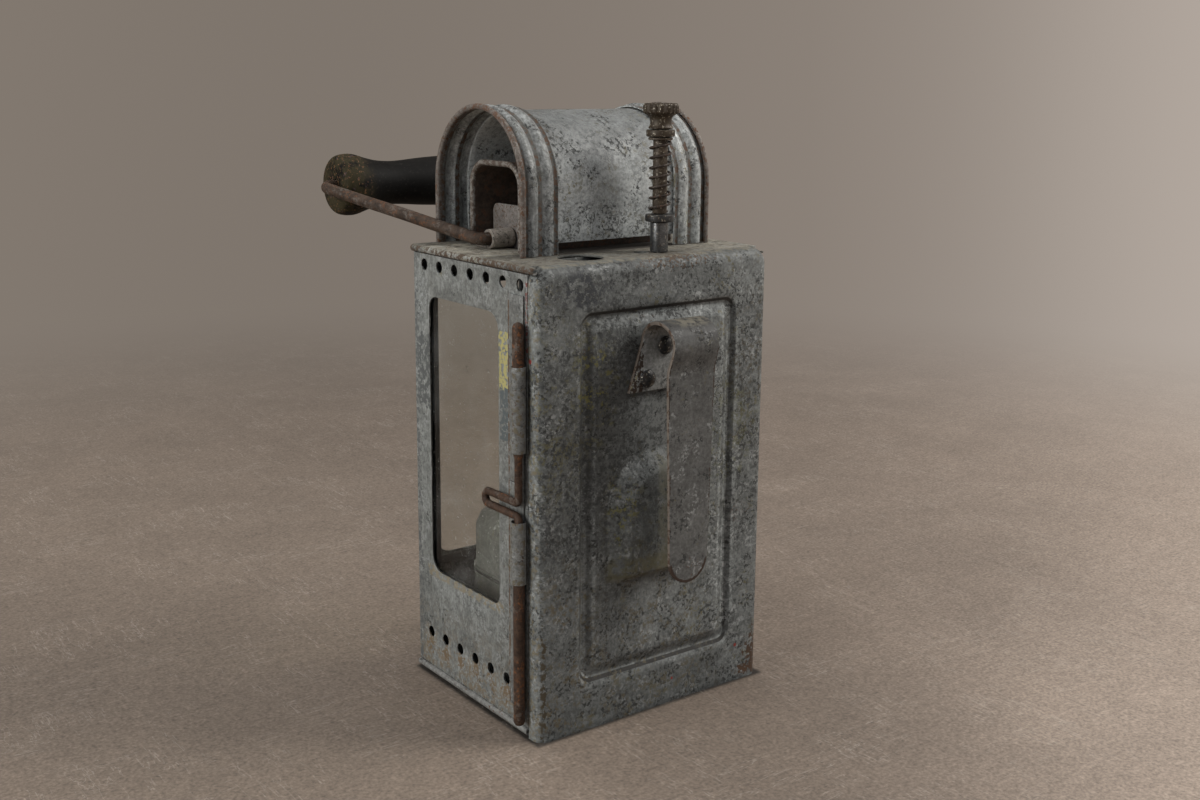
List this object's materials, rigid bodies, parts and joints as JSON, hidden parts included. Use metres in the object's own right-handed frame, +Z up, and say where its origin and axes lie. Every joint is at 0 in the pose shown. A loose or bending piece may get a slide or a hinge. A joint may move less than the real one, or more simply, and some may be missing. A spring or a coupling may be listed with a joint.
{
  "type": "carbide lamp",
  "caption": "Upright sheet-metal carbide lamp with a tunnel hood, glazed side door, belt hook, drip valve and a swinging bail with a turned grip.",
  "frame": {"origin": "centre of the casing's footprint, on the surface that the lamp stands on", "axes": "+Z up; -Y out of the back wall with the belt hook; -X out of the side door; +Y out of the front window, the way the bail lies"},
  "size_m": [0.1426, 0.2125, 0.2631],
  "materials": {
    "galvanised_sheet": "weathered zinc-coated sheet with pits, rust along its edges and old paint specks",
    "sooty_sheet": "sheet darkened by heat and soot",
    "rusty_wire": "iron wire and rod with an even brown rust",
    "turned_steel": "turned and browned, worn on the edges",
    "bright_steel": "bare bright plating, slightly dulled",
    "painted_wood": "turned wood under black paint, worn to olive brown on the end beads",
    "window_glass": "clear sheet glass with dust and small specks",
    "brass": "dull brass",
    "ceramic": "unglazed steatite",
    "rubber": "black rubber"
  },
  "bodies": {
    "casing": {"back_shell": "galvanised_sheet", "top_plate": "galvanised_sheet", "base_pan": "galvanised_sheet", "front_frame": "galvanised_sheet", "right_panel": "galvanised_sheet", "right_glass": "window_glass", "right_glass_frame": "sooty_sheet", "front_glass": "window_glass", "front_glass_frame": "sooty_sheet", "hinge_knuckle_lower": "galvanised_sheet", "hinge_knuckle_upper": "galvanised_sheet", "hinge_pin": "rusty_wire", "hood_middle": "galvanised_sheet", "hood_collar_left": "galvanised_sheet", "hood_collar_right": "galvanised_sheet", "inner_duct": "sooty_sheet", "wind_baffle_left": "galvanised_sheet", "wind_baffle_right": "galvanised_sheet", "bail_bracket_left": "galvanised_sheet", "bail_bracket_right": "galvanised_sheet", "valve_tube": "bright_steel", "valve_cap": "turned_steel", "valve_stem": "turned_steel", "valve_seat": "brass", "belt_hook": "galvanised_sheet", "hook_rivet_top": "galvanised_sheet", "hook_rivet_left": "galvanised_sheet", "hook_rivet_right": "galvanised_sheet", "water_tank": "galvanised_sheet", "drip_tube": "brass", "reflector": "bright_steel", "carbide_pot": "galvanised_sheet", "lid_seal": "rubber", "pot_lid": "galvanised_sheet", "burner_pillar": "brass", "burner_tip": "ceramic"},
    "side_door": {"side_door": "galvanised_sheet", "door_glass": "window_glass", "door_glass_frame": "sooty_sheet", "bolt_guide_lower": "galvanised_sheet", "bolt_guide_upper": "galvanised_sheet"},
    "door_bolt": {"bolt_rod": "rusty_wire"},
    "bail": {"bail_wire": "rusty_wire", "bail_grip": "painted_wood"},
    "valve_carrier": {"spring_washer": "bright_steel", "valve_spring": "rusty_wire"},
    "valve_spindle": {"valve_needle": "bright_steel", "knob_collar": "turned_steel", "valve_knob": "turned_steel"}
  },
  "joints": [
    {"name": "door_hinge", "type": "hinge", "parent": "casing", "child": "side_door", "pos_m": [-0.057, 0.052, 0.1], "axis": [0, 0, -1], "range_deg": [0, 100]},
    {"name": "bolt_slide", "type": "slide", "parent": "side_door", "child": "door_bolt", "axis": [0, 0, 1], "range_m": [0, 0.018]},
    {"name": "bail_swing", "type": "hinge", "parent": "casing", "child": "bail", "pos_m": [0, 0.014, 0.20455], "axis": [1, 0, 0], "range_deg": [0, 164]},
    {"name": "valve_lift", "type": "slide", "parent": "casing", "child": "valve_carrier", "axis": [0, 0, 1], "range_m": [0, 0.0021], "deforming": ["valve_spring"]},
    {"name": "valve_turn", "type": "hinge", "parent": "valve_carrier", "child": "valve_spindle", "pos_m": [0.011, -0.034, 0.25], "axis": [0, 0, 1], "range_deg": [0, 720]}
  ],
  "couplings": [
    {"joint": "valve_lift", "follows": "valve_turn", "m_per_rad": 0.00015915}
  ]
}
